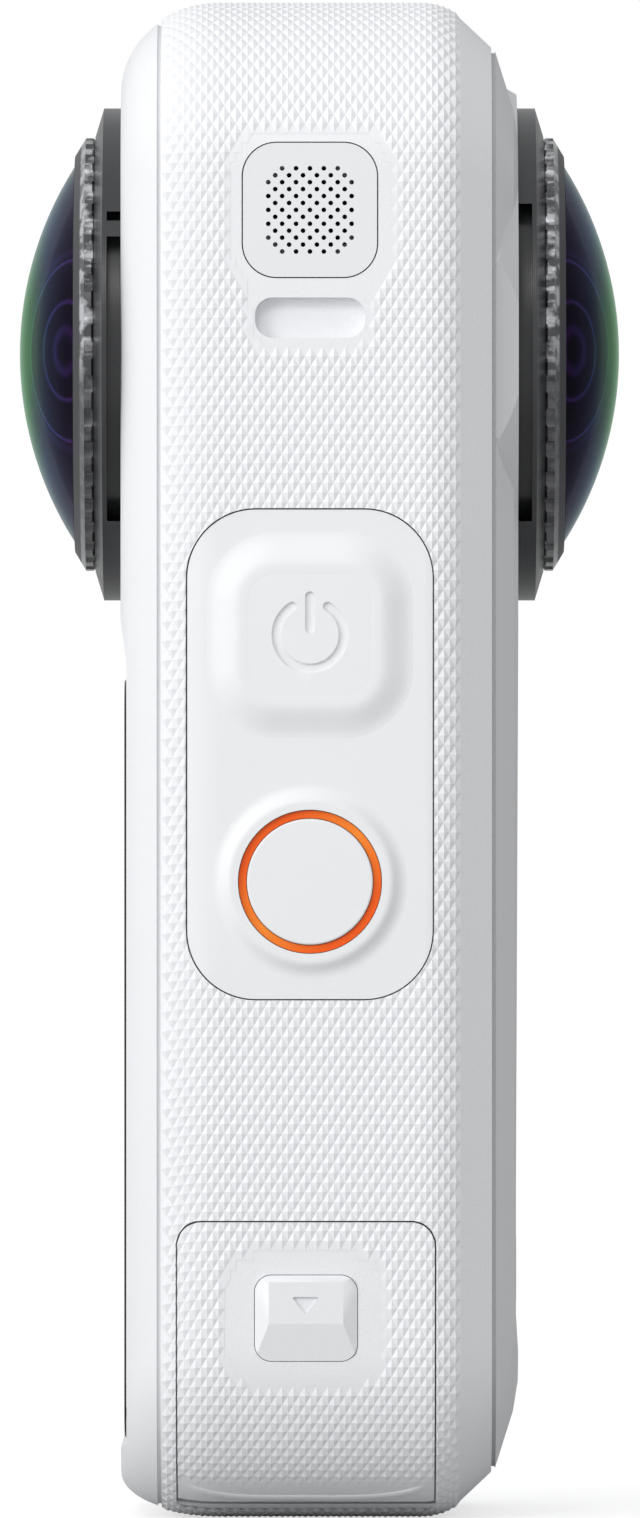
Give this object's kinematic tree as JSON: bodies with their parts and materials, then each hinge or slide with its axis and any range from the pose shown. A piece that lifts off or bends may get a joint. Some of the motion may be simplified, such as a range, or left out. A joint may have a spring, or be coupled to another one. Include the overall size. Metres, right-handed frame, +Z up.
{
  "type": "360 degree camera",
  "caption": "Slim upright action camera with a domed lens on each face, a knurled side band with push buttons, a hinged port door and a slide-out battery.",
  "frame": {"origin": "mouth of the tripod socket, in the middle of the base", "axes": "+Z up along the body, -Y towards the buttons, -X towards the screen"},
  "size_m": [0.0454, 0.0468, 0.1136],
  "materials": {
    "shell_white": "satin",
    "ring_orange": "gloss",
    "lens_black": "satin",
    "grip_grey": "satin",
    "clear_glass": "gloss",
    "screen_black": "gloss",
    "display_black": "gloss",
    "seal_rubber": "matte",
    "board_green": "satin",
    "sensor_silicon": "gloss",
    "spreader_aluminium": "satin",
    "insert_brass": "satin",
    "steel": "satin",
    "battery_grey": "satin",
    "speaker_black": "matte"
  },
  "bodies": {
    "camera": {"mid_band": "shell_white", "back_shell": "shell_white", "front_shell": "shell_white", "key_panel": "shell_white", "grille_plate": "shell_white", "record_ring": "ring_orange", "front_base_ring": "lens_black", "rear_base_ring": "lens_black", "front_lens_barrel": "lens_black", "rear_lens_barrel": "lens_black", "battery_tray": "lens_black", "front_lens_front": "clear_glass", "rear_lens_front": "clear_glass", "front_lens_group": "clear_glass", "rear_lens_group": "clear_glass", "screen_glass": "screen_black", "status_window": "screen_black", "display_panel": "display_black", "grille_gasket": "seal_rubber", "main_board": "board_green", "key_board": "board_green", "port_board": "board_green", "front_sensor_board": "board_green", "rear_sensor_board": "board_green", "front_image_sensor": "sensor_silicon", "rear_image_sensor": "sensor_silicon", "heat_spreader": "spreader_aluminium", "tripod_insert": "insert_brass", "battery_contacts": "insert_brass", "chassis_screws": "steel", "hinge_pin": "steel", "usb_socket": "steel", "processor_shield": "steel", "card_socket": "steel", "key_switches": "steel", "speaker": "speaker_black"},
    "rear_guard": {"rear_guard_ring": "grip_grey", "rear_guard_dome": "clear_glass", "rear_guard_seal": "seal_rubber"},
    "front_guard": {"front_guard_ring": "grip_grey", "front_guard_dome": "clear_glass", "front_guard_seal": "seal_rubber"},
    "power_key": {"power_button": "shell_white"},
    "record_key": {"record_button": "shell_white"},
    "door": {"port_door": "shell_white", "door_gasket": "seal_rubber", "latch_spring": "steel"},
    "latch": {"door_latch": "shell_white"},
    "bolt": {"latch_bolt": "steel"},
    "battery": {"battery_pack": "battery_grey", "battery_cover": "shell_white", "battery_seal": "seal_rubber"},
    "battery_catch": {"battery_latch": "shell_white"}
  },
  "joints": [
    {"name": "rear_guard_twist", "type": "hinge", "parent": "camera", "child": "rear_guard", "pos_m": [-0.017, 0, 0.0875], "axis": [-1, 0, 0], "range_deg": [0, 35]},
    {"name": "front_guard_twist", "type": "hinge", "parent": "camera", "child": "front_guard", "pos_m": [0.017, 0, 0.0875], "axis": [1, 0, 0], "range_deg": [0, 35]},
    {"name": "power_press", "type": "slide", "parent": "camera", "child": "power_key", "axis": [0, 1, 0], "range_m": [0, 0.00035], "stiffness_N_per_m": 4000},
    {"name": "record_press", "type": "slide", "parent": "camera", "child": "record_key", "axis": [0, 1, 0], "range_m": [0, 0.00035], "stiffness_N_per_m": 4000},
    {"name": "door_swing", "type": "hinge", "parent": "camera", "child": "door", "pos_m": [-0.001, -0.01585, 0.00299], "axis": [1, 0, 0], "range_deg": [0, 95]},
    {"name": "latch_press", "type": "slide", "parent": "door", "child": "latch", "axis": [0, 1, 0], "range_m": [0, 0.0009], "stiffness_N_per_m": 1500},
    {"name": "bolt_slide", "type": "slide", "parent": "door", "child": "bolt", "axis": [0, 0, -1], "range_m": [0, 0.0012], "deforming": ["latch_spring"]},
    {"name": "battery_lift", "type": "slide", "parent": "camera", "child": "battery", "axis": [0, 1, 0], "range_m": [0, 0.03]},
    {"name": "battery_catch_slide", "type": "slide", "parent": "battery", "child": "battery_catch", "axis": [0, 0, -1], "range_m": [0, 0.0015], "stiffness_N_per_m": 800}
  ],
  "couplings": [
    {"joint": "bolt_slide", "follows": "latch_press", "ratio": 1.3333}
  ]
}
